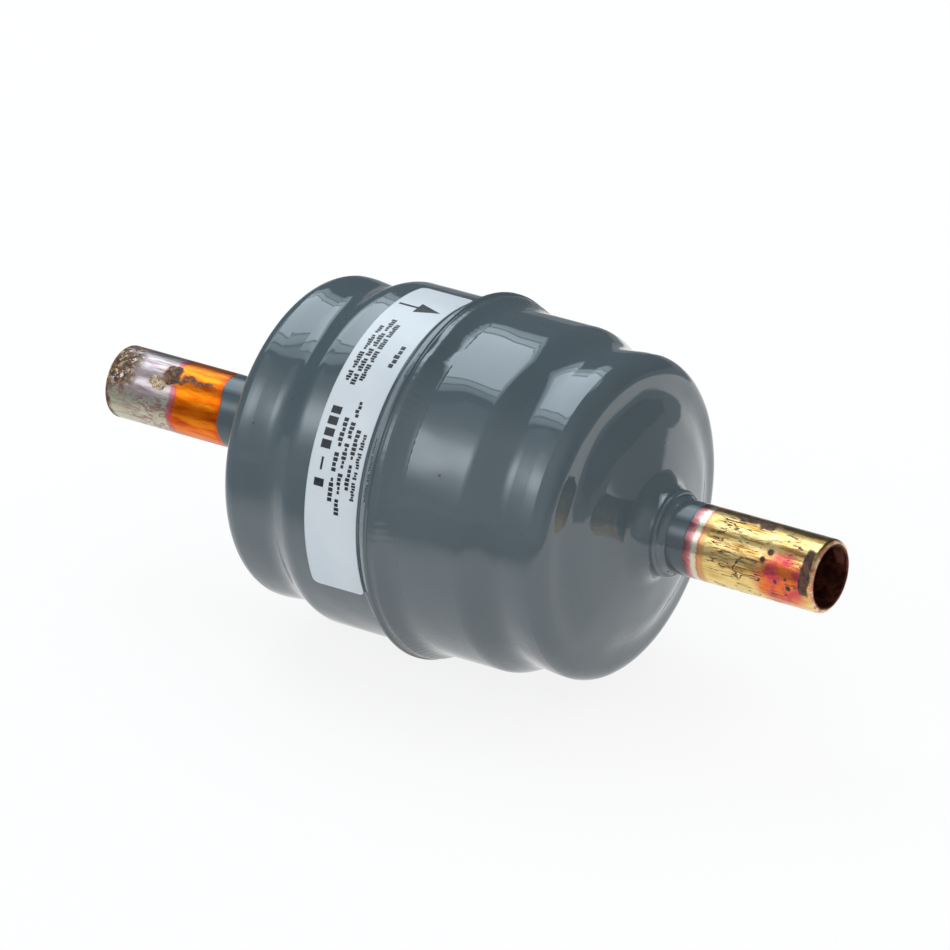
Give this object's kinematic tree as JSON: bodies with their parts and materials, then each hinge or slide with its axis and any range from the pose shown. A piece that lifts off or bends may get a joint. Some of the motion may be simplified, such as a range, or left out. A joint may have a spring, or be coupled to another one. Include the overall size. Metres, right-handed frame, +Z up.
{
  "type": "filter drier",
  "caption": "Welded steel filter drier for a refrigerant line, with waisted painted halves, a girth seam, a copper stub at each end and a moulded desiccant core inside.",
  "frame": {"origin": "middle of the overall length, on the axis of the stubs", "axes": "+X along the flow, from the inlet stub to the outlet stub; +Z up; the label's lower end is to the front, at -Y"},
  "size_m": [0.1428, 0.0636, 0.0636],
  "materials": {
    "shell_paint": "glossy blue-grey paint on drawn steel",
    "weld_paint": "the same paint over a weld bead",
    "inlet_copper": "copper stub with heat tint, from orange to pink",
    "outlet_copper": "copper stub with a golden heat tint",
    "braze_alloy": "dull silver-bearing brazing alloy",
    "label_paper": "pale blue-white paper label",
    "desiccant": "moulded porous block",
    "spring_steel": "oiled spring steel",
    "plate_steel": "zinc-plated pressed steel",
    "gasket_fibre": "soft fibre ring",
    "felt": "polyester felt"
  },
  "bodies": {
    "root": {"inlet_shell": "shell_paint", "outlet_shell": "shell_paint", "girth_weld": "weld_paint", "inlet_tube": "inlet_copper", "outlet_tube": "outlet_copper", "inlet_braze_ring": "braze_alloy", "outlet_braze_ring": "braze_alloy", "label": "label_paper", "desiccant_core": "desiccant", "core_spring": "spring_steel", "spring_plate": "plate_steel", "outlet_plate": "plate_steel", "outlet_screen": "plate_steel", "screen_ring": "plate_steel", "core_gasket": "gasket_fibre", "filter_pad": "felt"}
  },
  "joints": []
}
